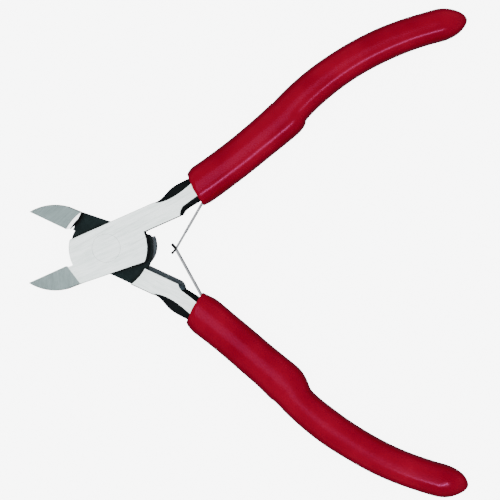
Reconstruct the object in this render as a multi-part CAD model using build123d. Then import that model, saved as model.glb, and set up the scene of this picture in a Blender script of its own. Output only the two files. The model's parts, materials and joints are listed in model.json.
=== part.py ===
from build123d import *
from math import asin, ceil, cos, degrees, radians, sin
import os

# A small pair of side cutters: two forged levers crossed in a lap joint on one rivet, with two
# interlocking leaf springs between handles dipped in soft plastic.
#
# Part frame: the pivot's axis is Z, +X runs from the pivot to the handles, and z = 0 is the ground
# back face of the head. Each lever is drawn closed: it lies along +X, its handle is on the +Y side
# and its lap is in the upper half of the head. It is then turned open, and the rear lever is the
# same drawing turned over about the X axis.

# Driving dimensions, in millimetres and degrees.
half_opening = 24.5
head_thickness = 8.0
middle = head_thickness / 2
lap_gap = 0.04
lap_floor = middle + lap_gap / 2
reach = 200.0

jaw_length = 19.4
jaw_depth = 5.0
jaw_root = 10.2
jaw_notch = 0.45
edge_gap = 0.02
edge_land = 0.15
flush_taper = 12.0
back_taper = 7.0
taper_start = (-9.2, -2.5)
taper_turn = 13.3
bevel_set_back = 2.6
jaw_recess_radius = 9.15
recess_rim_radius = 10.05

lap_radius = 8.5
lap_half_width = 5.1
hub_corner_angle = -42.0
front_hub_radius = 9.6
rear_hub_radius = 10.3
shoulder_gap = 0.25
ledge_radius = 11.1
ledge_height = 2.3
ledge_angles = (-5.0, -40.0)
front_lap_edge, front_relief_edge = -0.2, 0.6
rear_lap_edge, rear_relief_edge = -0.4, 0.4
hub_bevel = 0.25

rivet_radius = 2.5
rivet_head_radius = 3.2
running_gap = 0.04

neck_start = 14.0
step_end = (20.2, 0.8)
shank_bend = (24.0, 1.25)
shank_end = 10.0
shank_end_offsets = (2.4, -2.8)
crown_depth = 1.8
crown_inset = 1.1
groove_height = 3.6
groove_depth = 1.3
groove_ends = (10.2, 23.0)

# The handle's centre line: a first arc that bends outwards, then a tighter one that bends back.
line_start = (22.25, 4.2)
line_angle = 7.5
outward_radius = 120.0
outward_length = 32.0
return_radius = 61.5

tang_half_width = 2.3
tang_height = 5.6
tang_end = 70.0

mouth_x = 23.4
mouth_clearance = 0.15
mouth_bevel = 0.4
grip_corner = 0.33
grip_section_gap = 5.0

# Each grip's sections: the length along the centre line, the outer and inner edges beside it, and
# the thickness. The inner edge swells into a stop for the fingers, then steps back. The two grips
# are dipped by hand, so the rear one's stop is softer and its tip a little longer.
front_grip_sections = [
    (-3.0, 4.4, 4.7, 9.4),
    (3.0, 4.4, 4.65, 9.4),
    (10.0, 4.45, 4.45, 9.4),
    (19.0, 4.45, 4.45, 9.4),
    (24.0, 4.4, 4.7, 9.4),
    (28.6, 4.35, 4.95, 9.35),
    (29.3, 4.35, 4.5, 9.3),
    (30.2, 4.3, 4.12, 9.25),
    (33.0, 4.2, 4.0, 9.15),
    (38.0, 4.0, 4.05, 9.0),
    (46.0, 3.7, 4.1, 8.9),
    (56.0, 3.55, 4.15, 8.8),
    (66.0, 3.5, 3.95, 8.7),
    (70.8, 3.65, 3.7, 8.5),
    (72.6, 3.3, 3.15, 8.0),
    (74.3, 2.6, 2.4, 6.8),
    (75.5, 1.7, 1.1, 4.8),
    (76.2, 0.8, 0.1, 2.4),
]
rear_grip_sections = [
    (-3.0, 4.3, 5.0, 9.4),
    (3.0, 4.3, 5.0, 9.4),
    (10.0, 4.45, 4.55, 9.4),
    (19.0, 4.6, 4.45, 9.4),
    (24.0, 4.45, 4.75, 9.4),
    (28.6, 4.4, 5.2, 9.35),
    (30.0, 4.25, 4.9, 9.25),
    (32.8, 4.1, 3.95, 9.15),
    (35.0, 4.0, 3.8, 9.05),
    (42.0, 3.8, 4.15, 8.9),
    (50.0, 3.55, 4.25, 8.85),
    (58.0, 3.65, 4.1, 8.8),
    (66.0, 3.8, 3.85, 8.7),
    (71.0, 4.05, 3.55, 8.6),
    (73.2, 3.9, 3.2, 8.2),
    (75.0, 3.2, 2.6, 7.2),
    (76.5, 2.55, 1.3, 5.2),
    (77.6, 1.5, 0.1, 2.4),
]

leaf_thickness = 0.5
leaf_height = 3.0
leaf_bend = (24.6, 1.07)
leaf_angle = 36.1
leaf_length = 14.3
leaf_bend_radius = 2.5
foot_angle = 12.5
foot_length = 7.0
tongue_height = 1.2
tongue_span = (8.6, 13.7)
slot_height = 1.6
slot_span = (9.6, 13.6)
pocket_gap = 0.05

spring_rivet_at = 3.8
spring_rivet_radius = 0.8
spring_rivet_depth = 2.0
spring_rivet_head_radius = 1.3
spring_rivet_head_height = 0.4


def on_circle(radius, angle):
    return (radius * cos(radians(angle)), radius * sin(radians(angle)))


def at_height(radius, y):
    """The point of a circle about the pivot at this height, on the handle's side."""
    return on_circle(radius, degrees(asin(y / radius)))


def beside(length, offset):
    """The point this far along the handle's centre line and this far to its left."""
    start_angle = radians(line_angle)
    first = min(length, outward_length)
    turned = start_angle + first / outward_radius
    end = turned - (length - first) / return_radius
    x = line_start[0] + outward_radius * (sin(turned) - sin(start_angle))
    y = line_start[1] - outward_radius * (cos(turned) - cos(start_angle))
    x -= return_radius * (sin(end) - sin(turned))
    y += return_radius * (cos(end) - cos(turned))
    return (x - offset * sin(end), y + offset * cos(end))


def arc_beside(start, end, start_offset, end_offset):
    """An arc beside the centre line, from one length along it to another."""
    half_way = beside((start + end) / 2, (start_offset + end_offset) / 2)
    return ThreePointArc(beside(start, start_offset), half_way, beside(end, end_offset))


def slab(outline, low, high):
    """The solid between two heights over a closed outline."""
    return extrude(Pos(0, 0, low) * make_face(outline), high - low, dir=(0, 0, 1))


def half_space(point, normal, along):
    """A block as large as the part, on the side of a plane that its normal points to."""
    plane = Plane(origin=point, x_dir=along, z_dir=normal)
    return plane * Box(reach, reach, reach, align=(Align.CENTER, Align.CENTER, Align.MIN))


def jaw(flush_on_top):
    """One jaw, set back behind its cutting edge on the side that isn't flush."""
    corner = (-jaw_root + 0.6, -jaw_notch)
    outline = [
        Line((-jaw_length, -edge_gap), (-jaw_root, -edge_gap)),
        ThreePointArc((-jaw_root, -edge_gap), (-jaw_root + 0.4, -0.15), corner),
        Line(corner, (-lap_radius, -jaw_notch)),
        Line((-lap_radius, -jaw_notch), (-lap_radius, -jaw_depth)),
        Line((-lap_radius, -jaw_depth), (-12.2, -jaw_depth + 0.15)),
        ThreePointArc((-12.2, -jaw_depth + 0.15), (-16.4, -3.1), (-jaw_length, -0.15)),
        Line((-jaw_length, -0.15), (-jaw_length, -edge_gap)),
    ]
    drop = (jaw_length - jaw_root) * sin(radians(flush_taper))
    edge_root = (-jaw_root, -edge_gap, head_thickness - edge_land)
    edge_tip = (-jaw_length, -edge_gap, head_thickness - edge_land - drop)
    foot = (-jaw_root, -bevel_set_back, 0)
    if not flush_on_top:
        edge_root, edge_tip, foot = ((x, y, head_thickness - z) for x, y, z in (edge_root, edge_tip, foot))
    along = Vector(edge_tip) - Vector(edge_root)
    normal = along.cross(Vector(foot) - Vector(edge_root)).normalized()
    if normal.Y < 0:
        normal = -normal
    return slab(outline, 0, head_thickness) - half_space(edge_root, normal, along)


def jaw_tapers(flush_on_top):
    """The two blocks whose removal thins the jaw towards its tip, one on each side of the head.

    Round the other lever's recess they leave a level rim.
    """
    tapers = (flush_taper, back_taper) if flush_on_top else (back_taper, flush_taper)
    to_tip = on_circle(1, 180 + taper_turn)
    blocks = []
    for height, side, taper in zip((head_thickness, 0), (1, -1), tapers):
        lean = radians(taper)
        normal = (to_tip[0] * sin(lean), to_tip[1] * sin(lean), side * cos(lean))
        blocks.append(half_space((*taper_start, height), normal, (-to_tip[1], to_tip[0], 0)))
    blocks[1] -= Cylinder(recess_rim_radius, head_thickness)
    return blocks


def lap(hub_radius, lap_edge):
    """The half of the head that turns on the other lever, out to the start of the neck."""
    hub_start = at_height(hub_radius, lap_edge)
    corner = on_circle(hub_radius, hub_corner_angle)
    left_top = on_circle(lap_radius, 143.1)
    left_low = (-((lap_radius**2 - jaw_notch**2) ** 0.5), -jaw_notch)
    jaw_side = -lap_radius - 0.5
    outline = [
        ThreePointArc(left_low, on_circle(lap_radius, 162), left_top),
        Line(left_top, (neck_start, lap_half_width)),
        Line((neck_start, lap_half_width), (neck_start, lap_edge)),
        Line((neck_start, lap_edge), hub_start),
        ThreePointArc(hub_start, on_circle(hub_radius, hub_corner_angle / 2), corner),
        Line(corner, (jaw_side, -jaw_depth)),
        Line((jaw_side, -jaw_depth), (jaw_side, -jaw_notch)),
        Line((jaw_side, -jaw_notch), left_low),
    ]
    return bevel_rim(slab(outline, lap_floor, head_thickness), hub_radius)


def bevel_rim(block, radius):
    """The block with its upper edge bevelled along the arc of this radius."""
    rim = [edge for edge in block.edges().filter_by(GeomType.CIRCLE)
           if abs(edge.radius - radius) < 1e-6 and abs(edge.center().Z - head_thickness) < 1e-6]
    return chamfer(rim, hub_bevel)


def hub_ledge():
    """The rear hub's lower rim, which stands out past the hub and runs back into it towards the neck."""
    first, last = ledge_angles
    ends = [on_circle(rear_hub_radius - 0.1, first), on_circle(ledge_radius, last)]
    outer = ThreePointArc(ends[0], on_circle(ledge_radius, last / 2), ends[1])
    outline = [
        outer,
        Line(ends[1], (0, 0)),
        Line((0, 0), ends[0]),
    ]
    return bevel_rim(slab(outline, head_thickness - ledge_height, head_thickness), outer.radius)


def neck_half(relief_edge):
    """The other half of the neck, before its shoulder is cut."""
    start = lap_radius / 2
    outline = Polyline(
        (start, relief_edge), (neck_start, relief_edge), (neck_start, lap_half_width),
        (start, lap_half_width), close=True)
    return slab(outline, 0, lap_floor)


def shank_outlines(edge):
    """The shank's silhouette, and the outline of its narrower ground face, from the neck on."""
    outer_end, inner_end = shank_end_offsets
    silhouette = [
        Spline((neck_start, lap_half_width), (16.2, 5.4), (18.6, 6.45), (21.0, 6.87),
               beside(shank_end, outer_end)),
        Line(beside(shank_end, outer_end), beside(shank_end, inner_end)),
        Line(beside(shank_end, inner_end), shank_bend),
        Line(shank_bend, step_end),
        ThreePointArc(step_end, (19.6, edge + 0.4 * (step_end[1] - edge)), (18.8, edge)),
        Line((18.8, edge), (neck_start, edge)),
        Line((neck_start, edge), (neck_start, lap_half_width)),
    ]
    ground_end = (outer_end - crown_inset, inner_end + crown_inset)
    ground = [
        Spline((neck_start, lap_half_width), (15.4, 4.6), (17.4, 4.43), (20.6, 4.85),
               beside(shank_end, ground_end[0])),
        Line(beside(shank_end, ground_end[0]), beside(shank_end, ground_end[1])),
        Line(beside(shank_end, ground_end[1]), (23.6, 2.3)),
        Line((23.6, 2.3), (19.5, 1.4)),
        ThreePointArc((19.5, 1.4), (18.7, edge + 0.5 * (1.4 - edge)), (18.3, edge)),
        Line((18.3, edge), (neck_start, edge)),
        Line((neck_start, edge), (neck_start, lap_half_width)),
    ]
    return silhouette, ground


def shank_half(edge, base, crown, face):
    """Half of the shank: straight walls from base to crown, then bevels up to the ground face."""
    silhouette, ground = shank_outlines(edge)
    walls = slab(silhouette, min(base, crown), max(base, crown))
    lower = Pos(0, 0, crown) * make_face(silhouette)
    upper = Pos(0, 0, face) * make_face(ground)
    return walls + loft([lower, upper], ruled=True)


def tang():
    """The bar inside the grip, which follows the handle's centre line."""
    start, side = shank_end - 1, tang_half_width
    outline = [
        arc_beside(start, outward_length, side, side),
        arc_beside(outward_length, tang_end, side, side),
        ThreePointArc(beside(tang_end, side), beside(tang_end + side, 0), beside(tang_end, -side)),
        arc_beside(tang_end, outward_length, -side, -side),
        arc_beside(outward_length, start, -side, -side),
        Line(beside(start, -side), beside(start, side)),
    ]
    return slab(outline, middle - tang_height / 2, middle + tang_height / 2)


def pivot_rivet(gap=0.0):
    """The rivet's round body with a countersunk head ground flush at each face."""
    radius, head_radius = rivet_radius + gap, rivet_head_radius + gap
    depth = head_radius - radius
    body = Pos(0, 0, middle) * Cylinder(radius, head_thickness)
    top_head = Pos(0, 0, head_thickness - depth / 2) * Cone(radius, head_radius, depth)
    back_head = Pos(0, 0, depth / 2) * Cone(head_radius, radius, depth)
    return body + top_head + back_head


def lever(hub_radius, other_hub_radius, lap_edge, relief_edge, flush_on_top, bore_gap):
    """One lever, closed: jaw, lap, neck, shank and tang in one forging."""
    body = jaw(flush_on_top) + lap(hub_radius, lap_edge) + neck_half(relief_edge)
    if hub_radius > front_hub_radius:
        body += hub_ledge()
    body += shank_half(lap_edge, middle, head_thickness - crown_depth, head_thickness)
    body += shank_half(relief_edge, middle, crown_depth, 0)
    body += tang()
    below = (Align.CENTER, Align.CENTER, Align.MAX)
    jaw_side = (Align.MAX, Align.CENTER, Align.MAX)
    handle_side = (Align.MIN, Align.CENTER, Align.MAX)
    for radius, side in ((jaw_recess_radius, jaw_side), (other_hub_radius + shoulder_gap, handle_side)):
        half_disc = Cylinder(radius, reach, align=below) & Box(reach, reach, reach, align=side)
        body -= Pos(0, 0, lap_floor) * half_disc
    for block in jaw_tapers(flush_on_top):
        body -= block
    groove_length = groove_ends[1] - groove_ends[0]
    groove_middle = (groove_ends[0] + groove_length / 2, 0, middle)
    body -= Pos(*groove_middle) * Box(groove_length, 2 * groove_depth, groove_height)
    body -= pivot_rivet(bore_gap)
    return body


def leaf_side(offset, extra):
    """One side of the leaf seen edge on: along its foot, round the bend and out to the free end."""
    bend = Vector(*leaf_bend)
    ways = (180 + foot_angle, 180 + leaf_angle)
    normals = [Vector(*on_circle(1, way + 90)) for way in ways]
    corner = bend + (normals[0] + normals[1]) * (offset / (1 + normals[0].dot(normals[1])))
    foot_end = bend + Vector(*on_circle(foot_length + extra, foot_angle)) + normals[0] * offset
    free_end = bend + Vector(*on_circle(leaf_length, ways[1])) + normals[1] * offset
    return FilletPolyline(foot_end, corner, free_end, radius=leaf_bend_radius - offset)


def leaf_strip(gap=0.0):
    """The bent strip before anything is cut from it."""
    left = leaf_side(leaf_thickness / 2 + gap, gap)
    right = leaf_side(-leaf_thickness / 2 - gap, gap)
    outline = [*left.edges(), Line(left @ 1, right @ 1), *right.edges(), Line(right @ 0, left @ 0)]
    half_height = leaf_height / 2 + gap
    return slab(outline, middle - half_height, middle + half_height)


def across_leaf(span, height):
    """A block through the free leaf, between two lengths from the bend and as high as stated."""
    start, end = span
    block = Box(end - start, 2, height, align=(Align.MAX, Align.CENTER, Align.CENTER))
    return Pos(*leaf_bend, middle) * Rot(0, 0, leaf_angle) * Pos(-start, 0, 0) * block


def tongue_leaf():
    """The front leaf: a narrow tongue that ends in a T-shaped head."""
    return leaf_strip() - (across_leaf(tongue_span, reach) - across_leaf(tongue_span, tongue_height))


def slotted_leaf():
    """The rear leaf: a closed slot near its end that the tongue runs in."""
    return leaf_strip() - across_leaf(slot_span, slot_height)


def spring_rivet(gap=0.0):
    """The small rivet that holds a leaf's foot to its shank, with its head under the grip."""
    shank_side = Pos(*leaf_bend, middle) * Rot(0, 0, foot_angle) * Pos(spring_rivet_at, 0, 0)
    shank_side = shank_side * Rot(-90, 0, 0)
    face = leaf_thickness / 2 + pocket_gap
    low = (Align.CENTER, Align.CENTER, Align.MIN)
    high = (Align.CENTER, Align.CENTER, Align.MAX)
    pin = Pos(0, 0, -face) * Cylinder(spring_rivet_radius + gap, face + face + spring_rivet_depth, align=low)
    head = Pos(0, 0, -face) * Cylinder(spring_rivet_head_radius, spring_rivet_head_height, align=high)
    return shank_side * (pin + head)


def grip_section(length, outer, inner, height):
    """One rounded section across the handle's centre line."""
    centre = beside(length, (outer - inner) / 2)
    ahead = Vector(*beside(length, 1)) - Vector(*beside(length, 0))
    plane = Plane(origin=(*centre, middle), x_dir=(ahead.X, ahead.Y, 0), z_dir=(ahead.Y, -ahead.X, 0))
    return plane * RectangleRounded(outer + inner, height, grip_corner * min(outer + inner, height))


def between(sections):
    """The stated sections, with more worked out between those that stand far apart."""
    for this, following in zip(sections, sections[1:]):
        steps = ceil((following[0] - this[0]) / grip_section_gap)
        for step in range(steps):
            yield [a + (b - a) * step / steps for a, b in zip(this, following)]
    yield sections[-1]


def grip(sections, inside):
    """The dipped grip: cut square at its mouth, and clear of everything that it covers."""
    body = loft([grip_section(*section) for section in between(sections)], ruled=True)
    body -= half_space((mouth_x, 0, 0), (-1, 0, 0), (0, 1, 0))
    body -= half_space((0, mouth_clearance, 0), (0, -1, 0), (1, 0, 0))
    mouth = [edge for edge in body.edges() if abs(edge.center().X - mouth_x) < 0.01]
    body = chamfer(mouth, mouth_bevel)
    for piece in inside:
        body -= piece
    return body


def front(shape):
    """A piece drawn closed, turned open on the front side."""
    return Rot(0, 0, half_opening) * shape


def rear(shape):
    """The same, turned over to the rear side first."""
    return Rot(0, 0, -half_opening) * Pos(0, 0, head_thickness) * Rot(180, 0, 0) * shape


def assembly():
    """Every piece by its node name."""
    front_lever = lever(front_hub_radius, ledge_radius, front_lap_edge, front_relief_edge,
                        True, running_gap) - spring_rivet()
    rear_lever = lever(rear_hub_radius, front_hub_radius, rear_lap_edge, rear_relief_edge,
                       False, 0.0) - spring_rivet()
    covered = [leaf_strip(pocket_gap), spring_rivet()]
    return {
        "front_lever": front(front_lever),
        "rear_lever": rear(rear_lever),
        "pivot_rivet": pivot_rivet(),
        "front_leaf_spring": front(tongue_leaf() - spring_rivet(pocket_gap)),
        "rear_leaf_spring": rear(slotted_leaf() - spring_rivet(pocket_gap)),
        "front_spring_rivet": front(spring_rivet()),
        "rear_spring_rivet": rear(spring_rivet()),
        "front_grip": front(grip(front_grip_sections, [front_lever, *covered])),
        "rear_grip": rear(grip(rear_grip_sections, [rear_lever, *covered])),
    }


os.makedirs("parts", exist_ok=True)
for node, shape in assembly().items():
    export_step(shape, f"parts/{node}.step")
    print(node, round(shape.volume, 1), "mm3")
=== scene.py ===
import json
import math

import bmesh
import bpy
from mathutils import Matrix, Vector


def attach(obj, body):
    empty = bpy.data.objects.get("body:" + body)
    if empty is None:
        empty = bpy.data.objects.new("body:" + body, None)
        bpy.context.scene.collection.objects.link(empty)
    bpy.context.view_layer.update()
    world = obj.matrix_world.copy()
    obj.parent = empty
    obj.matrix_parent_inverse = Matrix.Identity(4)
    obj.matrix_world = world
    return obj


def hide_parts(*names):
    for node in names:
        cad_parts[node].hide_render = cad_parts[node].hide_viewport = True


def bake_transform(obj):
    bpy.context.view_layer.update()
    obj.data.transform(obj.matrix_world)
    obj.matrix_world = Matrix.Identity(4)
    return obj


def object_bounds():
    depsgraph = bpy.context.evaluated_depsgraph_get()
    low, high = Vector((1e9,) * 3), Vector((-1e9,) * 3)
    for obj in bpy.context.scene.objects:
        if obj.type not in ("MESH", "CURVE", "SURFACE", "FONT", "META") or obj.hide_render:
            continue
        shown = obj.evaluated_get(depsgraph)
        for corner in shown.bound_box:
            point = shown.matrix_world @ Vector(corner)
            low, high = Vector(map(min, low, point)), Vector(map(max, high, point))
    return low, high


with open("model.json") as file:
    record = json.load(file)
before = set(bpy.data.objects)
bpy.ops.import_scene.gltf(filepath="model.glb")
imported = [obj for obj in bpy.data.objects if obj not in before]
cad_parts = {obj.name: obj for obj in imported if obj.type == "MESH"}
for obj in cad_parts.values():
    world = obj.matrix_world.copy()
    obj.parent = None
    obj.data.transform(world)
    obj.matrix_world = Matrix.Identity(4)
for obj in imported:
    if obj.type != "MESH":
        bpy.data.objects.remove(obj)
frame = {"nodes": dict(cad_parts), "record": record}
record = frame["record"]
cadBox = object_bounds()
mm = 0.001

# the pivot, its travel and the head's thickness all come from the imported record
pivotJoint = next(j for j in record["behaviour"]["joints"] if j["name"] == "pivot")
pivotAt = Vector(pivotJoint["pos_m"])
halfOpening = math.radians(pivotJoint["range_deg"][1]) / 2
headTop = next(m for m in record["mounts"] if m["name"] == "front_face")["pos_m"][2]

# both levers are drawn shut, along +X with the handle on the +Y side, then put in place
frontPlace = Matrix.Rotation(halfOpening, 4, "Z")
rearPlace = (Matrix.Rotation(-halfOpening, 4, "Z") @ Matrix.Translation((0, 0, headTop))
             @ Matrix.Rotation(math.pi, 4, "X"))
halves = {
    "front": {"place": frontPlace, "body": "front_half", "leafBody": "front_leaf", "turn": halfOpening},
    "rear": {"place": rearPlace, "body": "rear_half", "leafBody": "rear_leaf", "turn": -halfOpening},
}


def addNode(tree, kind, inputs=None, **settings):
    node = tree.nodes.new(kind)
    for name, value in settings.items():
        setattr(node, name, value)
    for key, value in (inputs or {}).items():
        if isinstance(value, bpy.types.NodeSocket):
            tree.links.new(value, node.inputs[key])
        else:
            node.inputs[key].default_value = value
    return node


def doMath(tree, operation, *values, clamp=False):
    inputs = dict(enumerate(values))
    return addNode(tree, "ShaderNodeMath", inputs, operation=operation, use_clamp=clamp).outputs[0]


def vectorMath(tree, operation, inputs):
    return addNode(tree, "ShaderNodeVectorMath", inputs, operation=operation).outputs[0]


def mixNumbers(tree, share, first, second):
    return addNode(tree, "ShaderNodeMix", {0: share, 2: first, 3: second}, data_type="FLOAT").outputs[0]


def mixColours(tree, share, first, second):
    return addNode(tree, "ShaderNodeMix", {0: share, 6: first, 7: second}, data_type="RGBA").outputs[2]


def mapRange(tree, value, fromLow, fromHigh, toLow, toHigh, smooth=False):
    kind = "SMOOTHSTEP" if smooth else "LINEAR"
    inputs = {0: value, 1: fromLow, 2: fromHigh, 3: toLow, 4: toHigh}
    return addNode(tree, "ShaderNodeMapRange", inputs, interpolation_type=kind, clamp=True).outputs[0]


def startMaterial(name):
    material = bpy.data.materials.new(name)
    material.use_nodes = True
    tree = material.node_tree
    return material, tree, tree.nodes["Principled BSDF"]


def objectCoords(tree):
    return addNode(tree, "ShaderNodeTexCoord").outputs["Object"]


def noise(tree, coords, scale, detail, roughness):
    inputs = {"Vector": coords, "Scale": scale, "Detail": detail, "Roughness": roughness}
    return addNode(tree, "ShaderNodeTexNoise", inputs).outputs[0]


def ramp(tree, value, *stops):
    node = addNode(tree, "ShaderNodeValToRGB", {0: value})
    while len(node.color_ramp.elements) < len(stops):
        node.color_ramp.elements.new(0.5)
    for element, (place, colour) in zip(node.color_ramp.elements, stops):
        element.position = place
        element.color = (*colour, 1)
    return node.outputs[0]


def addBump(tree, shader, height, strength, distance):
    bump = addNode(tree, "ShaderNodeBump", {"Height": height, "Strength": strength, "Distance": distance})
    tree.links.new(bump.outputs[0], shader.inputs["Normal"])


def grain(tree, turn, stretch, scale, detail, roughness):
    # noise drawn out into lines that lie at the given angle to +X
    coords = objectCoords(tree)
    coords = addNode(tree, "ShaderNodeMapping", {"Vector": coords, "Rotation": (0, 0, -turn)}).outputs[0]
    coords = addNode(tree, "ShaderNodeMapping", {"Vector": coords, "Scale": (stretch, 1, 1)}).outputs[0]
    return noise(tree, coords, scale, detail, roughness)


def addObject(name, data):
    item = bpy.data.objects.new(name, data)
    bpy.context.scene.collection.objects.link(item)
    return item


# stretch, scale, detail and roughness of each layer of grinding marks
grindSet = {
    "lines": (0.035, 9000, 3, 0.6), "lineShare": 0.45,
    "broad": (0.06, 1500, 2, 0.5), "broadShare": 0.35,
    "clouds": (1, 260, 3, 0.55), "cloudShare": 0.2,
    "scratches": (0.02, 2600, 1, 0.4), "scratchTurn": 0.12, "scratchRough": 0.08,
}
groundLook = {
    "dark": (0.56, 0.635, 0.615), "light": (0.95, 1.0, 0.985), "contrast": 0.09,
    "roughLow": 0.22, "roughHigh": 0.42, "lineDepth": 0.0000035,
}


def makeGroundSteel(name, turn, look):
    # belt-ground steel: long fine lines, a few deeper scratches, faint clouding
    material, tree, shader = startMaterial(name)
    lines = grain(tree, turn, *grindSet["lines"])
    broad = grain(tree, turn, *grindSet["broad"])
    clouds = grain(tree, turn, *grindSet["clouds"])
    scratchLines = grain(tree, turn + grindSet["scratchTurn"], *grindSet["scratches"])
    scratches = mapRange(tree, scratchLines, 0.66, 0.72, 0, 1)
    mixed = doMath(tree, "MULTIPLY", broad, grindSet["broadShare"])
    mixed = doMath(tree, "MULTIPLY_ADD", lines, grindSet["lineShare"], mixed)
    mixed = doMath(tree, "MULTIPLY_ADD", clouds, grindSet["cloudShare"], mixed)
    darkAt, lightAt = 0.5 - look["contrast"], 0.5 + look["contrast"]
    colour = ramp(tree, mixed, (darkAt, look["dark"]), (lightAt, look["light"]))
    tree.links.new(colour, shader.inputs["Base Color"])
    rough = mapRange(tree, mixed, 0.3, 0.7, look["roughLow"], look["roughHigh"])
    rough = doMath(tree, "MULTIPLY_ADD", scratches, grindSet["scratchRough"], rough)
    tree.links.new(rough, shader.inputs["Roughness"])
    height = doMath(tree, "SUBTRACT", mixed, doMath(tree, "MULTIPLY", scratches, 0.5))
    addBump(tree, shader, height, 0.35, look["lineDepth"])
    shader.inputs["Metallic"].default_value = 1
    return material


# a darker, cross-ground copy of the ground steel for the tapered jaw faces: the darker colour is painted
# shade for faces tilted away from the light
jawLook = {
    "dark": (0.31, 0.395, 0.385), "light": (0.45, 0.55, 0.54), "contrast": 0.12,
    "roughLow": 0.34, "roughHigh": 0.5, "lineDepth": 0.000002,
}
# a smoother, near-white copy of the ground steel for the rim round the recess: polished, and painted
# brighter as the rim's white highlight
polishedHighlightLook = {
    "dark": (0.93, 0.95, 0.95), "light": (0.99, 0.99, 0.99), "contrast": 0.2,
    "roughLow": 0.16, "roughHigh": 0.28, "lineDepth": 0.000001,
}
oxideGrain = {"patches": (420, 4, 0.6), "fine": (5200, 3, 0.65), "pitScale": 3600}
oxideLook = {
    "dark": (0.002, 0.003, 0.0035), "light": (0.008, 0.012, 0.013),
    "roughLow": 0.36, "roughHigh": 0.55, "pitDepth": 0.00002, "specular": 0.2,
    "paintedShadeReach": 0.001, "paintedShadeDark": 0.3, "paintedShadeLight": 0.8,
}


def makeBlackOxide(name, look):
    # blackened forging: fine pitting, patchy sheen, and painted shade that darkens it in its corners
    material, tree, shader = startMaterial(name)
    coords = objectCoords(tree)
    patches = noise(tree, coords, *oxideGrain["patches"])
    fine = noise(tree, coords, *oxideGrain["fine"])
    cells = {"Vector": coords, "Scale": oxideGrain["pitScale"]}
    pits = addNode(tree, "ShaderNodeTexVoronoi", cells, feature="F1").outputs["Distance"]
    mixed = doMath(tree, "MULTIPLY_ADD", patches, 0.6, doMath(tree, "MULTIPLY", fine, 0.4))
    tone = ramp(tree, mixed, (0.32, look["dark"]), (0.7, look["light"]))
    # painted shade: ambient occlusion darkens the colour towards black near walls and in corners
    reach = {"Distance": look["paintedShadeReach"]}
    corners = addNode(tree, "ShaderNodeAmbientOcclusion", reach, samples=8).outputs["AO"]
    corners = mapRange(tree, corners, look["paintedShadeDark"], look["paintedShadeLight"], 0, 1, smooth=True)
    tone = mixColours(tree, corners, (*oxideLook["dark"], 1), tone)
    tree.links.new(tone, shader.inputs["Base Color"])
    rough = mapRange(tree, mixed, 0.3, 0.7, look["roughHigh"], look["roughLow"])
    tree.links.new(rough, shader.inputs["Roughness"])
    height = doMath(tree, "MULTIPLY_ADD", pits, 0.5, doMath(tree, "MULTIPLY", fine, 0.7))
    addBump(tree, shader, height, 0.4, look["pitDepth"])
    shader.inputs["Specular IOR Level"].default_value = look["specular"]
    return material


tealOxideLook = {
    "dark": (0.004, 0.014, 0.015), "light": (0.013, 0.036, 0.037),
    "roughLow": 0.34, "roughHigh": 0.5, "pitDepth": 0.00002, "specular": 0.1,
    "paintedShadeReach": 0.001, "paintedShadeDark": 0.5, "paintedShadeLight": 0.95,
}
# a lighter, bluer copy of the oxide: the sheen on ledge tops and on the rear neck's sloped side is painted
# into its colour
blueSheenOxideLook = {
    "dark": (0.035, 0.060, 0.078), "light": (0.110, 0.155, 0.185),
    "roughLow": 0.28, "roughHigh": 0.45, "pitDepth": 0.000012, "specular": 0.3,
    "paintedShadeReach": 0.0006, "paintedShadeDark": 0.5, "paintedShadeLight": 0.9,
}
pvcLook = {
    # edge is the painted shade colour for where the grip turns away
    "deep": (0.35, 0.003, 0.014), "bright": (0.475, 0.005, 0.024), "edge": (0.20, 0.001, 0.030),
    "roughLow": 0.17, "roughHigh": 0.27, "specular": 0.2, "specularTint": (1, 0.14, 0.6, 1),
    "rippleDepth": 0.00004,
    "clouds": (110, 3, 0.5), "ripples": (320, 2, 0.45), "peel": (2600, 2, 0.5), "specks": (5200, 1, 0.5),
}


def makeDippedPvc(look):
    # soft dipped plastic: cloudy red, slow ripples left by the dip, fine orange peel
    material, tree, shader = startMaterial("dippedPvc")
    coords = objectCoords(tree)
    clouds = noise(tree, coords, *look["clouds"])
    ripples = noise(tree, coords, *look["ripples"])
    peel = noise(tree, coords, *look["peel"])
    specks = mapRange(tree, noise(tree, coords, *look["specks"]), 0.70, 0.78, 0, 1)
    shade = doMath(tree, "SUBTRACT", clouds, doMath(tree, "MULTIPLY", specks, 0.25))
    red = ramp(tree, shade, (0.3, look["deep"]), (0.72, look["bright"]))
    # painted shade: the red turns darker and bluer where the surface turns away
    turned = addNode(tree, "ShaderNodeLayerWeight", {"Blend": 0.5}).outputs["Facing"]
    turned = mapRange(tree, turned, 0.35, 0.95, 0, 1, smooth=True)
    body = mixColours(tree, turned, red, (*look["edge"], 1))
    tree.links.new(body, shader.inputs["Base Color"])
    uneven = doMath(tree, "MULTIPLY_ADD", peel, 0.5, doMath(tree, "MULTIPLY", clouds, 0.5))
    rough = mapRange(tree, uneven, 0.3, 0.7, look["roughLow"], look["roughHigh"])
    tree.links.new(rough, shader.inputs["Roughness"])
    height = doMath(tree, "ADD", ripples, doMath(tree, "MULTIPLY", peel, 0.12))
    addBump(tree, shader, height, 0.5, look["rippleDepth"])
    shader.inputs["Specular IOR Level"].default_value = look["specular"]
    shader.inputs["Specular Tint"].default_value = look["specularTint"]
    return material


springLook = {
    "dark": (0.12, 0.125, 0.13), "light": (0.26, 0.27, 0.28), "contrast": 0.2,
    "roughLow": 0.25, "roughHigh": 0.4, "lineDepth": 0.0000015,
}

blackOxide = makeBlackOxide("blackOxide", oxideLook)
tealOxide = makeBlackOxide("tealOxide", tealOxideLook)
blueSheenOxide = makeBlackOxide("blueSheenOxide", blueSheenOxideLook)
dippedPvc = makeDippedPvc(pvcLook)
print("finishes made")


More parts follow.
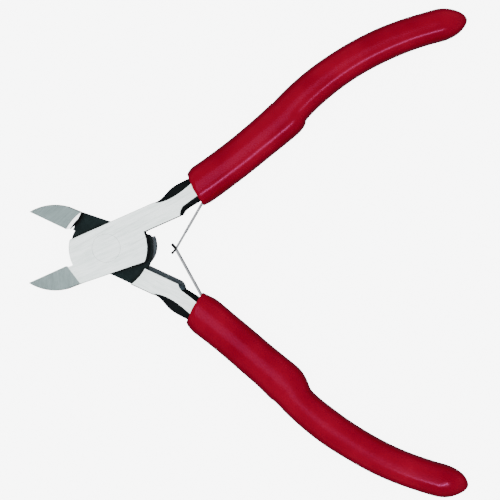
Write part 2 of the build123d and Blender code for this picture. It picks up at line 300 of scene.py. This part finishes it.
leverSet = {
    "edgeRound": 0.2 * mm, "otherEdges": 0.45,   # edges that face -Y have lost the most
    "sharpAngle": math.radians(24),
    "faceFlat": 0.9985,        # how level a face is to count as ground flat
    "slopeFlat": 0.90,         # how level a jaw's tapered face is
    "slopeSteep": 0.2, "nearlyUpright": 0.05,
    "faceSkin": 0.1 * mm,
    "jawStart": -8.6 * mm, "jawGrainTurn": math.radians(68),
    "rimRadius": 10.05 * mm,
    "rimEnd": -9.5 * mm,
    "hubReach": 11.3 * mm,
    "neckStart": 13.9 * mm, "stepAt": 19.8 * mm,
    "wornFrom": 8 * mm,
    "cutFrom": -8 * mm, "cutReach": -0.6 * mm,
    "rivetReach": 3.4 * mm,    # the rivet's own rim stays sharp, since it is ground flush
}


def mergedCopy(node):
    mesh = bpy.data.meshes.new(node + "Skin")
    edit = bmesh.new()
    edit.from_mesh(frame["nodes"][node].data)
    bmesh.ops.remove_doubles(edit, verts=edit.verts, dist=0.00001)
    bmesh.ops.dissolve_limit(edit, angle_limit=math.radians(0.4), verts=edit.verts, edges=edit.edges)
    edit.to_mesh(mesh)
    edit.free()
    return mesh


def finishKind(half, centre, normal, look):
    # centre and normal are in the shut drawing, where the lever lies along +X and its lap is on top
    level = abs(normal.z)
    fromPivot = math.hypot(centre.x, centre.y)
    if level > look["faceFlat"]:
        # the flat rim round the recess gets the near-white copy: a painted highlight on polished steel
        if centre.z < look["faceSkin"] and centre.x < 0 and fromPivot < look["rimRadius"]:
            return "polishedHighlight"
        if centre.z < look["faceSkin"] or centre.z > headTop - look["faceSkin"]:
            return "ground"
        inLap = abs(centre.z - headTop / 2) < look["faceSkin"] and fromPivot < look["hubReach"]
        # mid-height flat faces outside the lap get the lighter oxide with its painted sheen
        return "teal" if inLap else "blueSheen"
    pastRim = centre.x < look["rimEnd"] and level > look["nearlyUpright"]
    # tapered jaw faces get the darker copy with its painted shade
    if centre.x < look["jawStart"] and (level > look["slopeFlat"] or pastRim):
        return "jaw"
    if level > look["slopeSteep"] and fromPivot < look["hubReach"]:
        return "oxide"
    onNeck = look["neckStart"] < centre.x < look["stepAt"]
    # the rear neck's sloped side facing -Y gets the painted sheen too
    if half == "rear" and onNeck and level > look["slopeSteep"] and normal.y < 0:
        return "blueSheen"
    return "oxide"


def markEdges(mesh, back, floorFinish, look):
    # a shallow edge between two finishes stays crisp, a sharp outer one gets its small bevel
    edit = bmesh.new()
    edit.from_mesh(mesh)
    weights = edit.edges.layers.float.new("bevel_weight_edge")
    for edge in edit.edges:
        faces = edge.link_faces
        edge.smooth = len({face.material_index for face in faces}) == 1
        middle = back @ ((edge.verts[0].co + edge.verts[1].co) / 2)
        plain = edge.is_convex and all(face.material_index != floorFinish for face in faces)
        nearRivet = math.hypot(middle.x, middle.y) < look["rivetReach"]
        cuttingEdge = middle.x < look["cutFrom"] and middle.y > look["cutReach"]
        if plain and edge.calc_face_angle() > look["sharpAngle"] and not nearRivet and not cuttingEdge:
            worn = min(face.normal.y for face in faces) < -0.5 and middle.x > look["wornFrom"]
            edge[weights] = 1 if worn else look["otherEdges"]
    edit.to_mesh(mesh)
    edit.free()


def makeLever(half, look):
    facts = halves[half]
    node = half + "_lever"
    mesh = mergedCopy(node)
    finishes = {
        "ground": makeGroundSteel(half + "Ground", facts["turn"], groundLook),
        "jaw": makeGroundSteel(half + "JawGround", facts["turn"] + look["jawGrainTurn"], jawLook),
        "polishedHighlight": makeGroundSteel(half + "PolishedHighlight", facts["turn"], polishedHighlightLook),
        "oxide": blackOxide,
        "teal": tealOxide,
        "blueSheen": blueSheenOxide,
    }
    order = list(finishes)
    for finish in finishes.values():
        mesh.materials.append(finish)
    back = facts["place"].inverted()
    for face in mesh.polygons:
        kind = finishKind(half, back @ face.center, back.to_3x3() @ face.normal, look)
        face.material_index = order.index(kind)
    mesh.shade_smooth()
    markEdges(mesh, back, order.index("teal"), look)
    lever = addObject(half + "LeverSkin", mesh)
    edges = lever.modifiers.new("edges", "BEVEL")
    edges.width = look["edgeRound"]
    edges.segments = 2
    edges.limit_method = "WEIGHT"
    edges.material = order.index("oxide")
    edges.use_clamp_overlap = False
    evenOut = lever.modifiers.new("normals", "WEIGHTED_NORMAL")
    evenOut.keep_sharp = True
    evenOut.weight = 60
    bakeModifiers(lever)
    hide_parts(node)
    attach(lever, facts["body"])


def bakeModifiers(piece):
    finished = piece.evaluated_get(bpy.context.evaluated_depsgraph_get())
    baked = bpy.data.meshes.new_from_object(finished)
    baked.name = piece.name
    piece.modifiers.clear()
    piece.data = baked


for half in halves:
    makeLever(half, leverSet)
print("levers made")


gripSet = {
    "lineStart": (22.25 * mm, 4.2 * mm),   # the handle's centre line in the shut drawing
    "lineAngle": math.radians(7.5),
    "outRadius": 120 * mm,
    "outLength": 32 * mm,
    "backRadius": 61.5 * mm,
    "mouthAt": 1.16 * mm,
    "endAt": {"front": 76.25 * mm, "rear": 77.6 * mm},
    "linePoints": 150,
    "stepsAlong": 230,
    "stepsAround": 56,
    "squareness": 2.35,
    "boreWidth": 2.75 * mm,
    "boreHeight": 3.95 * mm,
    "boreDepth": 7 * mm,
    "lipDepth": 0.9 * mm,
    "shoulderDepth": {"front": 2.4 * mm, "rear": 3.6 * mm},
    "tipLength": 7.0 * mm,
    "wobble": 0.015 * mm,
    "halfGap": 0.03 * mm,
}
# length along the line, outer edge, inner edge and thickness, in mm; the two grips differ a little
gripSections = {
    "front": [
        (-3.0, 4.4, 4.7, 9.4), (3.0, 4.4, 4.65, 9.4), (10.0, 4.45, 4.45, 9.4), (19.0, 4.45, 4.45, 9.4),
        (24.0, 4.4, 4.7, 9.4), (28.4, 4.35, 4.95, 9.35), (29.3, 4.35, 4.5, 9.3), (30.2, 4.3, 4.12, 9.25),
        (33.0, 4.2, 4.0, 9.15), (38.0, 4.0, 4.05, 9.0), (46.0, 3.7, 4.1, 8.9), (56.0, 3.55, 4.15, 8.8),
        (66.0, 3.5, 3.95, 8.7), (70.8, 3.72, 3.8, 8.6), (73.0, 3.8, 3.7, 8.55), (76.6, 4.15, 3.35, 8.5),
    ],
    "rear": [
        (-3.0, 4.3, 5.0, 9.4), (3.0, 4.3, 5.0, 9.4), (10.0, 4.45, 4.55, 9.4), (19.0, 4.6, 4.45, 9.4),
        (24.0, 4.45, 4.75, 9.4), (28.6, 4.4, 5.2, 9.35), (30.0, 4.25, 4.9, 9.25), (32.8, 4.1, 3.95, 9.15),
        (35.0, 4.0, 3.8, 9.05), (42.0, 3.8, 4.15, 8.9), (50.0, 3.55, 4.25, 8.85), (58.0, 3.65, 4.1, 8.8),
        (66.0, 3.8, 3.85, 8.7), (71.0, 4.05, 3.6, 8.65), (75.0, 4.15, 3.55, 8.6), (78.0, 4.6, 3.2, 8.6),
    ],
}


def besideLine(along, offset, look):
    first = min(along, look["outLength"])
    turned = look["lineAngle"] + first / look["outRadius"]
    end = turned - (along - first) / look["backRadius"]
    x = look["lineStart"][0] + look["outRadius"] * (math.sin(turned) - math.sin(look["lineAngle"]))
    y = look["lineStart"][1] - look["outRadius"] * (math.cos(turned) - math.cos(look["lineAngle"]))
    x -= look["backRadius"] * (math.sin(end) - math.sin(turned))
    y += look["backRadius"] * (math.cos(end) - math.cos(turned))
    return Vector((x - offset * math.sin(end), y + offset * math.cos(end), headTop / 2))


def smoothSection(along, sections):
    # a curve through the sections, even where they aren't evenly spaced
    stations = [s[0] * mm for s in sections]
    i = max(0, min(len(stations) - 2, sum(1 for s in stations if s <= along) - 1))
    span = stations[i + 1] - stations[i]
    t = (along - stations[i]) / span

    def slope(column, k):
        low, high = max(k - 1, 0), min(k + 1, len(stations) - 1)
        return (sections[high][column] - sections[low][column]) / (stations[high] - stations[low])

    values = []
    for column in (1, 2, 3):
        a, b = sections[i][column], sections[i + 1][column]
        value = a * (2 * t**3 - 3 * t**2 + 1) + span * slope(column, i) * (t**3 - 2 * t**2 + t)
        value = value + b * (3 * t**2 - 2 * t**3) + span * slope(column, i + 1) * (t**3 - t**2)
        values.append(value * mm)
    return values


def makeGripLine(name, look, sections, endAt):
    # a chain of points down the middle of the grip that carries its half width and half height
    mesh = bpy.data.meshes.new(name)
    count = look["linePoints"]
    points, sizes = [], []
    for i in range(count):
        along = look["mouthAt"] + (endAt - look["mouthAt"]) * i / (count - 1)
        outer, inner, thick = smoothSection(along, sections)
        points.append(besideLine(along, (outer - inner) / 2, look))
        sizes.append(((outer + inner) / 2, thick / 2, 0))
    mesh.from_pydata(points, [(i, i + 1) for i in range(count - 1)], [])
    section = mesh.attributes.new("section", "FLOAT_VECTOR", "POINT")
    for item, size in zip(section.data, sizes):
        item.vector = size
    return mesh


def makeGripTree():
    tree = bpy.data.node_groups.new("dippedGrip", "GeometryNodeTree")
    face = tree.interface
    face.new_socket("Geometry", in_out="INPUT", socket_type="NodeSocketGeometry")
    for name in ("Steps Along", "Steps Around"):
        face.new_socket(name, in_out="INPUT", socket_type="NodeSocketInt")
    for name in ("Squareness", "Bore Width", "Bore Height", "Bore Depth", "Lip Depth", "Shoulder Depth",
                 "Mouth Slant", "Tip Length", "Wobble"):
        face.new_socket(name, in_out="INPUT", socket_type="NodeSocketFloat")
    face.new_socket("Geometry", in_out="OUTPUT", socket_type="NodeSocketGeometry")
    given = addNode(tree, "NodeGroupInput").outputs
    line = addNode(tree, "GeometryNodeMeshToCurve", {0: given["Geometry"]}).outputs[0]
    length = addNode(tree, "GeometryNodeCurveLength", {0: line}).outputs[0]
    steps = {"Vertices X": given["Steps Along"], "Vertices Y": given["Steps Around"]}
    sheet = addNode(tree, "GeometryNodeMeshGrid", {**steps, "Size X": 1.0, "Size Y": 1.0})
    split = addNode(tree, "ShaderNodeSeparateXYZ", {0: sheet.outputs["UV Map"]}).outputs
    along, around = split[0], split[1]

    # rows run up the bore, round the lip and down the outside to the tip
    bore = mapRange(tree, along, 0, 0.06, 1, 0)
    lipTurn = mapRange(tree, along, 0.06, 0.14, math.pi, 0)
    outside = mapRange(tree, along, 0.14, 1, 0, math.pi / 2)
    outside = doMath(tree, "SINE", outside)
    inward = doMath(tree, "MULTIPLY_ADD", doMath(tree, "COSINE", lipTurn), -0.5, 0.5)
    inward = doMath(tree, "POWER", inward, 0.75)

    angle = doMath(tree, "MULTIPLY", around, 2 * math.pi)
    power = doMath(tree, "DIVIDE", 2.0, given["Squareness"])

    def rounded(wave):
        size = doMath(tree, "POWER", doMath(tree, "ABSOLUTE", wave), power)
        return doMath(tree, "MULTIPLY", size, doMath(tree, "SIGN", wave))

    sideways = rounded(doMath(tree, "COSINE", angle))
    upward = rounded(doMath(tree, "SINE", angle))

    # the lip has a long soft shoulder on the side away from the other handle
    away = mapRange(tree, sideways, -0.1, 1, 0, 1, smooth=True)
    onShoulder = doMath(tree, "MULTIPLY", away, doMath(tree, "LESS_THAN", lipTurn, math.pi / 2))
    depth = mixNumbers(tree, onShoulder, given["Lip Depth"], given["Shoulder Depth"])
    roundLip = doMath(tree, "MULTIPLY", doMath(tree, "SINE", lipTurn), depth)
    boreReach = doMath(tree, "SUBTRACT", given["Bore Depth"], depth)
    outsideReach = doMath(tree, "SUBTRACT", length, depth)
    station = doMath(tree, "SUBTRACT", depth, roundLip)
    station = doMath(tree, "MULTIPLY_ADD", boreReach, bore, station)
    station = doMath(tree, "MULTIPLY_ADD", outsideReach, outside, station)

    # the mouth is cut square to the tool, so it slants across the handle
    mouthShare = mapRange(tree, station, 0, 0.010, 1, 0, smooth=True)
    section = addNode(tree, "GeometryNodeInputNamedAttribute", {"Name": "section"},
                      data_type="FLOAT_VECTOR").outputs[0]

    def sample(at):
        return addNode(tree, "GeometryNodeSampleCurve", {"Curves": line, "Value": section, "Length": at},
                       data_type="FLOAT_VECTOR", mode="LENGTH").outputs

    firstSize = addNode(tree, "ShaderNodeSeparateXYZ", {0: sample(station)["Value"]}).outputs
    lean = doMath(tree, "MULTIPLY", doMath(tree, "MULTIPLY", sideways, firstSize[0]), given["Mouth Slant"])
    station = doMath(tree, "MULTIPLY_ADD", lean, mouthShare, station)
    taken = sample(station)
    size = addNode(tree, "ShaderNodeSeparateXYZ", {0: taken["Value"]}).outputs

    # the tip closes on a rounded end
    tip = mapRange(tree, doMath(tree, "SUBTRACT", length, station), given["Tip Length"], 0, 0, 1)
    tip = doMath(tree, "SUBTRACT", 1.0, doMath(tree, "POWER", tip, 2.0), clamp=True)
    tip = doMath(tree, "POWER", tip, 0.6)

    def across(outerSize, boreSize):
        return doMath(tree, "MULTIPLY", mixNumbers(tree, inward, outerSize, boreSize), tip)

    side = doMath(tree, "MULTIPLY", across(size[0], given["Bore Width"]), sideways)
    height = doMath(tree, "MULTIPLY", across(size[1], given["Bore Height"]), upward)

    normal = vectorMath(tree, "CROSS_PRODUCT", {0: (0, 0, 1), 1: taken["Tangent"]})
    sideStep = vectorMath(tree, "SCALE", {0: normal, "Scale": side})
    upStep = addNode(tree, "ShaderNodeCombineXYZ", {2: height}).outputs[0]
    place = vectorMath(tree, "ADD", {0: taken["Position"], 1: sideStep})
    place = vectorMath(tree, "ADD", {0: place, 1: upStep})
    flat = sheet.outputs["Mesh"]
    skin = addNode(tree, "GeometryNodeSetPosition", {"Geometry": flat, "Position": place}).outputs[0]
    skin = addNode(tree, "GeometryNodeMergeByDistance", {"Geometry": skin, "Distance": 0.00002}).outputs[0]

    # the dip never comes out quite even
    spot = addNode(tree, "GeometryNodeInputPosition").outputs[0]
    uneven = addNode(tree, "ShaderNodeTexNoise", {"Vector": spot, "Scale": 130.0, "Detail": 1.0}).outputs[0]
    push = doMath(tree, "MULTIPLY", doMath(tree, "SUBTRACT", uneven, 0.62), given["Wobble"])
    outward = addNode(tree, "GeometryNodeInputNormal").outputs[0]
    shift = vectorMath(tree, "SCALE", {0: outward, "Scale": push})
    skin = addNode(tree, "GeometryNodeSetPosition", {"Geometry": skin, "Offset": shift}).outputs[0]
    skin = addNode(tree, "GeometryNodeSetShadeSmooth", {"Geometry": skin}).outputs[0]
    skin = addNode(tree, "GeometryNodeRealizeInstances", {0: skin}).outputs[0]
    skin = addNode(tree, "GeometryNodeSetMaterial", {"Geometry": skin, "Material": dippedPvc}).outputs[0]
    addNode(tree, "NodeGroupOutput", {0: skin})
    return tree


def setInput(modifier, name, value):
    sockets = modifier.node_group.interface.items_tree
    socket = next(s for s in sockets if s.name == name and s.in_out == "INPUT")
    modifier[socket.identifier] = value


def makeGrip(half, tree, look, sections):
    facts = halves[half]
    line = makeGripLine(half + "GripLine", look, sections[half], look["endAt"][half])
    grip = addObject(half + "GripSkin", line)
    dip = grip.modifiers.new("dip", "NODES")
    dip.node_group = tree
    inputs = {
        "Steps Along": look["stepsAlong"], "Steps Around": look["stepsAround"] + 1,
        "Squareness": look["squareness"],
        "Bore Width": look["boreWidth"], "Bore Height": look["boreHeight"], "Bore Depth": look["boreDepth"],
        "Lip Depth": look["lipDepth"], "Shoulder Depth": look["shoulderDepth"][half],
        "Mouth Slant": math.tan(look["lineAngle"]),
        "Tip Length": look["tipLength"], "Wobble": look["wobble"],
    }
    for name, value in inputs.items():
        setInput(dip, name, value)
    bakeModifiers(grip)
    # trimmed on the middle line, so that the grips only just clear each other when shut
    for vertex in grip.data.vertices:
        vertex.co.y = max(vertex.co.y, look["halfGap"])
    grip.data.transform(facts["place"])
    outwards(grip.data)
    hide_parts(half + "_grip")
    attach(grip, facts["body"])
    return grip


def outwards(mesh):
    edit = bmesh.new()
    edit.from_mesh(mesh)
    bmesh.ops.recalc_face_normals(edit, faces=edit.faces)
    edit.to_mesh(mesh)
    edit.free()


gripTree = makeGripTree()
for half in halves:
    grip = makeGrip(half, gripTree, gripSet, gripSections)
    print("grip", half, len(grip.data.polygons), "faces")


leafSet = {
    "bend": (24.6 * mm, 1.07 * mm),    # where foot and leaf would meet in a corner, in the shut drawing
    "angle": math.radians(36.1),
    "length": 14.3 * mm,
    "bendRadius": 2.5 * mm,
    "footAngle": math.radians(12.5),
    "footLength": 7 * mm,
    "thickness": {"front": 0.5 * mm, "rear": 0.6 * mm},
    "height": 3 * mm,
    "tongueHeight": 1.2 * mm, "tongue": (8.6 * mm, 13.7 * mm),
    "slotHeight": 1.6 * mm, "slot": (9.6 * mm, 13.6 * mm),
    "curl": math.radians(16), "curlLength": 1.9 * mm,
    "darkFrom": 12.6 * mm,
    "step": 0.25 * mm,
    "bendSteps": 10,
    "edgeRound": 0.06 * mm,
    "blendFrom": -1.5 * mm, "blendTo": 5 * mm,   # where the strip flexes, counted from the corner
}


def leafDirection(look):
    return Vector((-math.cos(look["angle"]), -math.sin(look["angle"]), 0))


def leafLine(look):
    # points and normals from the riveted foot round the bend to the free end
    corner = Vector((*look["bend"], 0))
    footway = Vector((math.cos(look["footAngle"]), math.sin(look["footAngle"]), 0))
    leafway = leafDirection(look)
    turn = math.pi - footway.angle(leafway)
    cut = look["bendRadius"] * math.tan(turn / 2)
    line = []
    footSteps = round((look["footLength"] - cut) / look["step"])
    for i in range(footSteps):
        left = cut + (look["footLength"] - cut) * (1 - i / footSteps)
        line.append((corner + footway * left, -left))
    heading = -footway
    side = 1 if (-footway).cross(leafway).z > 0 else -1
    for i in range(look["bendSteps"] + 1):
        part = turn * i / look["bendSteps"]
        centre = corner + footway * cut + Vector((-heading.y, heading.x, 0)) * side * look["bendRadius"]
        spoke = Vector((heading.y, -heading.x, 0)) * side * look["bendRadius"]
        line.append((centre + Matrix.Rotation(side * part, 3, "Z") @ spoke, 0))
    freeSteps = round((look["length"] - cut) / look["step"])
    place = corner + leafway * cut
    for i in range(1, freeSteps + 1):
        run = cut + (look["length"] - cut) * i / freeSteps
        bent = max(0, run - (look["length"] - look["curlLength"])) / look["curlLength"]
        way = Matrix.Rotation(-look["curl"] * bent, 3, "Z") @ leafway
        place = place + way * (look["length"] - cut) / freeSteps
        line.append((place.copy(), run))
    return line


def makeLeaf(half, look):
    facts = halves[half]
    line = leafLine(look)
    if half == "front":
        inner, (openFrom, openTo) = look["tongueHeight"] / 2, look["tongue"]
    else:
        inner, (openFrom, openTo) = look["slotHeight"] / 2, look["slot"]
    heights = (-look["height"] / 2, -inner, inner, look["height"] / 2)
    edit = bmesh.new()
    rows = [[edit.verts.new(p + Vector((0, 0, headTop / 2 + h))) for h in heights] for p, run in line]
    for i in range(len(rows) - 1):
        run = (line[i][1] + line[i + 1][1]) / 2
        opened = openFrom < run < openTo
        for j in range(3):
            missing = opened and (j != 1 if half == "front" else j == 1)
            if not missing:
                face = edit.faces.new((rows[i][j], rows[i + 1][j], rows[i + 1][j + 1], rows[i][j + 1]))
                face.material_index = 1 if run > look["darkFrom"] else 0
    bmesh.ops.delete(edit, geom=[v for v in edit.verts if not v.link_faces], context="VERTS")
    mesh = bpy.data.meshes.new(half + "LeafSkin")
    edit.to_mesh(mesh)
    edit.free()
    mesh.materials.append(makeGroundSteel(half + "SpringSteel", facts["turn"] + look["angle"], springLook))
    mesh.materials.append(blackOxide)
    leaf = addObject(half + "LeafSkin", mesh)
    wall = leaf.modifiers.new("wall", "SOLIDIFY")
    wall.thickness = look["thickness"][half]
    wall.offset = 0
    edges = leaf.modifiers.new("edges", "BEVEL")
    edges.width = look["edgeRound"]
    edges.segments = 2
    edges.limit_method = "ANGLE"
    edges.angle_limit = math.radians(40)
    bakeModifiers(leaf)
    leaf.data.transform(facts["place"])
    outwards(leaf.data)
    leaf.data.shade_smooth()
    leaf.data.set_sharp_from_angle(angle=math.radians(50))
    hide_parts(half + "_leaf_spring")
    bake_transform(leaf)


for half in halves:
    makeLeaf(half, leafSet)
print("leaf springs made")


def dressRivets():
    pivotFinish = makeGroundSteel("pivotGround", halfOpening, groundLook)
    small = makeGroundSteel("smallRivetSteel", 0, springLook)
    finishes = {"pivot_rivet": pivotFinish, "front_spring_rivet": small, "rear_spring_rivet": small}
    for node, finish in finishes.items():
        rivet = frame["nodes"][node]
        if not rivet.material_slots:
            rivet.data.materials.append(finish)
        for holder in rivet.material_slots:
            holder.link = "OBJECT"
            holder.material = finish


dressRivets()
print("rivets dressed")


floorSet = {
    "size": 6.0, "drop": 0.0001, "glow": 7.0,
    "dark": (0.93, 0.93, 0.93), "light": (0.97, 0.97, 0.97),
}
lightSet = {
    "world": 0.72, "above": (0.80, 0.86, 0.90), "below": (0.10, 0.105, 0.12),
    "topSize": 0.42, "topHeight": 0.75, "topPower": 1.75, "topShift": -0.10,
    "stripSize": (0.18, 0.022), "stripPower": 0.8,
    "stripAt": (0.16, -0.157, 0.30), "stripTurn": math.radians(25),
}
cameraSet = {
    "ahead": 32.6 * mm, "aside": -0.1 * mm, "height": 408 * mm,
    "turn": math.radians(0.57), "lens": 127.1,
}


def makeFloorFinish(look):
    material, tree, shader = startMaterial("paleFloor")
    tone = noise(tree, objectCoords(tree), 30, 2, 0.5)
    tone = ramp(tree, tone, (0.2, look["dark"]), (0.8, look["light"]))
    tree.links.new(tone, shader.inputs["Base Color"])
    shader.inputs["Roughness"].default_value = 0.9
    shader.inputs["Specular IOR Level"].default_value = 0.1
    shader.inputs["Emission Color"].default_value = (1, 1, 1, 1)
    shader.inputs["Emission Strength"].default_value = look["glow"]
    return material


def makeFloor(look):
    low = cadBox[0].z - look["drop"]
    half = look["size"] / 2
    mesh = bpy.data.meshes.new("floor")
    corners = [(-half, -half, low), (half, -half, low), (half, half, low), (-half, half, low)]
    mesh.from_pydata(corners, [], [(0, 1, 2, 3)])
    mesh.materials.append(makeFloorFinish(look))
    floor = addObject("floor", mesh)
    floor.visible_glossy = False   # the tool isn't lit or rimmed by the glowing floor
    floor.visible_diffuse = False


def makeLight(name, place, target, size, power, turn=0.0):
    # the long side of the light lies level, at the given angle to +X
    lamp = bpy.data.lights.new(name, "AREA")
    lamp.shape = "RECTANGLE"
    lamp.size, lamp.size_y = size
    lamp.energy = power
    holder = addObject(name, lamp)
    away = (Vector(place) - Vector(target)).normalized()
    along = Vector((math.cos(turn), math.sin(turn), 0))
    along = (along - away * along.dot(away)).normalized()
    upright = away.cross(along)
    holder.matrix_world = Matrix.Translation(place) @ Matrix((along, upright, away)).transposed().to_4x4()
    return holder


def lightScene(look):
    world = bpy.data.worlds.new("studio")
    world.use_nodes = True
    tree = world.node_tree
    way = addNode(tree, "ShaderNodeTexCoord").outputs["Generated"]
    upward = addNode(tree, "ShaderNodeSeparateXYZ", {0: way}).outputs[2]
    sky = ramp(tree, mapRange(tree, upward, -1, 1, 0, 1), (0.35, look["below"]), (0.62, look["above"]))
    tree.links.new(sky, tree.nodes["Background"].inputs["Color"])
    tree.nodes["Background"].inputs["Strength"].default_value = look["world"]
    bpy.context.scene.world = world
    middle = pivotAt + Vector((cameraSet["ahead"], 0, 0))
    above = middle + Vector((look["topShift"], 0, look["topHeight"]))
    makeLight("overhead", above, middle, (look["topSize"], look["topSize"]), look["topPower"])
    strip = makeLight("strip", look["stripAt"], middle, look["stripSize"], look["stripPower"],
                      turn=look["stripTurn"])
    strip.visible_diffuse = False   # it only draws a thin highlight along the grip


def placeCamera(look):
    lens = bpy.data.cameras.new("camera")
    lens.lens = look["lens"]
    lens.sensor_width = 36
    lens.clip_start = 0.01
    camera = addObject("camera", lens)
    camera.location = (pivotAt.x + look["ahead"], pivotAt.y + look["aside"], look["height"])
    camera.rotation_euler = (0, 0, look["turn"])
    bpy.context.scene.camera = camera


makeFloor(floorSet)
lightScene(lightSet)
placeCamera(cameraSet)
print("stage made")
